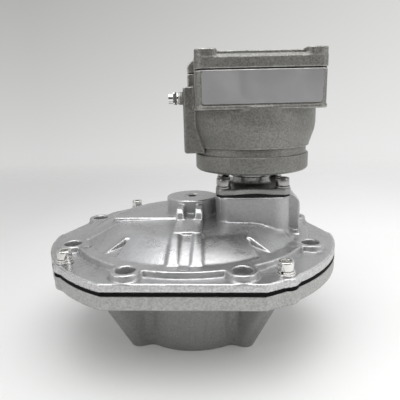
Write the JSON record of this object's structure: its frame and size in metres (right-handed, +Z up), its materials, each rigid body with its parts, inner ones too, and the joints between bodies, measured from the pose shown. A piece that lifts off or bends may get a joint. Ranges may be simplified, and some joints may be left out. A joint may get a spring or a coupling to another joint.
{
  "type": "dust collector pulse valve",
  "caption": "Full-immersion diaphragm pulse valve with a bolted flange, a domed cover and a flameproof pilot operator.",
  "frame": {"origin": "on the floor below the valve axis, at the centre of the outlet tube's foot", "axes": "+Z up along the valve axis, +X from the valve axis towards the pilot, -Y the front with the flange's flat and the label plate"},
  "size_m": [0.2286, 0.204, 0.2195],
  "materials": {
    "body_casting": "as-cast matt die casting with a trimmed, gritty flange edge",
    "cover_casting": "bright satin die casting",
    "enclosure_casting": "warm grey sand-textured casting",
    "bonnet_metal": "satin",
    "bright_screw": "bright zinc plate",
    "dark_screw": "dulled zinc plate",
    "plug_zinc": "dull",
    "plate_steel": "zinc plated",
    "stainless": "turned",
    "spring_steel": "drawn wire",
    "yoke_steel": "pressed sheet",
    "brass": "turned",
    "copper_wire": "enamelled wire",
    "label_metal": "bare satin plate",
    "diaphragm_rubber": "fabric-backed rubber",
    "seal_rubber": "moulded",
    "nylon": "moulded",
    "nylon_dark": "moulded"
  },
  "bodies": {
    "root": {"valve_body": "body_casting", "outlet_o_ring": "seal_rubber", "main_diaphragm": "diaphragm_rubber", "main_spring": "spring_steel", "cover": "cover_casting", "cover_screws": "bright_screw", "cover_spring_washers": "bright_screw", "cover_washers": "bright_screw", "cover_plug": "plug_zinc", "pilot_gasket": "seal_rubber", "pilot_bonnet": "bonnet_metal", "bonnet_screws": "dark_screw", "bonnet_washers": "dark_screw", "pilot_seat": "brass", "core_tube": "stainless", "fixed_core": "stainless", "core_spring": "spring_steel", "retaining_nut": "stainless"},
    "valve_disc": {"lower_plate": "plate_steel", "upper_plate": "plate_steel", "centre_bolt": "plate_steel", "centre_nut": "plate_steel"},
    "pilot_core": {"core": "stainless", "core_seal": "seal_rubber"},
    "enclosure": {"enclosure_base": "enclosure_casting", "enclosure_housing": "enclosure_casting", "enclosure_lid": "enclosure_casting", "lid_seal": "seal_rubber", "lid_screws": "stainless", "label_plate": "label_metal", "coil_bobbin": "nylon", "coil_winding": "copper_wire", "coil_yoke": "yoke_steel", "terminal_block": "nylon_dark", "terminal_screws": "brass", "earth_clamp": "bright_screw", "earth_screw": "bright_screw"}
  },
  "joints": [
    {"name": "diaphragm_lift", "type": "slide", "parent": "root", "child": "valve_disc", "axis": [0, 0, 1], "range_m": [0, 0.01], "stiffness_N_per_m": 2500, "springref_m": -0.012, "deforming": ["main_spring", "main_diaphragm"]},
    {"name": "core_lift", "type": "slide", "parent": "root", "child": "pilot_core", "axis": [0, 0, 1], "range_m": [0, 0.0015], "stiffness_N_per_m": 900, "springref_m": -0.004, "deforming": ["core_spring"]},
    {"name": "enclosure_turn", "type": "hinge", "parent": "root", "child": "enclosure", "pos_m": [0.0485, 0, 0.1335], "axis": [0, 0, 1], "range_deg": [-175, 175]}
  ]
}
